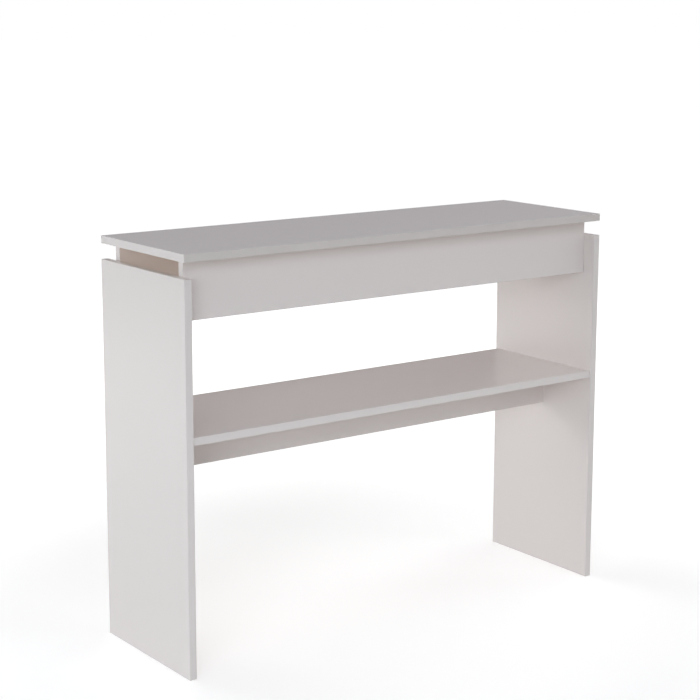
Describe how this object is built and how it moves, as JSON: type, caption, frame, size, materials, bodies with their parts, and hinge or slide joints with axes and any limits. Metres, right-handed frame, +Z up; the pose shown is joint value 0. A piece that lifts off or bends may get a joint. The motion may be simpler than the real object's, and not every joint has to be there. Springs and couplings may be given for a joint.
{
  "type": "console table",
  "caption": "Narrow off-white console table of laminated board: floating top on two aprons, panel sides, a shelf and a stiffening rail, joined by cam locks and dowels",
  "frame": {"origin": "on the floor, under the middle of the top", "axes": "+X along the table to the right, -Y the front, +Z up"},
  "size_m": [1.01, 0.305, 0.79],
  "materials": {
    "board_laminate": "satin",
    "edge_strip": "satin",
    "plated_steel": "satin",
    "cast_zinc": "matte",
    "beech": "matte",
    "cap_plastic": "satin"
  },
  "bodies": {
    "root": {"apron_cam_bolts": "plated_steel", "apron_cam_drums": "cast_zinc", "apron_dowels": "beech", "front_apron": "board_laminate", "front_apron_bottom_band": "edge_strip", "front_apron_left_band": "edge_strip", "front_apron_right_band": "edge_strip", "left_side_bottom_band": "edge_strip", "left_side_front_band": "edge_strip", "left_side_panel": "board_laminate", "left_side_rear_band": "edge_strip", "left_side_top_band": "edge_strip", "rail_cam_bolts": "plated_steel", "rail_cam_caps": "cap_plastic", "rail_cam_drums": "cast_zinc", "rail_end_dowels": "beech", "rail_top_dowels": "beech", "rear_apron": "board_laminate", "rear_apron_bottom_band": "edge_strip", "rear_apron_left_band": "edge_strip", "rear_apron_right_band": "edge_strip", "right_side_bottom_band": "edge_strip", "right_side_front_band": "edge_strip", "right_side_panel": "board_laminate", "right_side_rear_band": "edge_strip", "right_side_top_band": "edge_strip", "shelf": "board_laminate", "shelf_cam_bolts": "plated_steel", "shelf_cam_caps": "cap_plastic", "shelf_cam_drums": "cast_zinc", "shelf_dowels": "beech", "shelf_front_band": "edge_strip", "shelf_rail": "board_laminate", "shelf_rail_bottom_band": "edge_strip", "shelf_rear_band": "edge_strip", "top_cam_bolts": "plated_steel", "top_cam_drums": "cast_zinc", "top_dowels": "beech", "top_panel": "board_laminate", "top_panel_front_band": "edge_strip", "top_panel_left_band": "edge_strip", "top_panel_rear_band": "edge_strip", "top_panel_right_band": "edge_strip"}
  },
  "joints": []
}
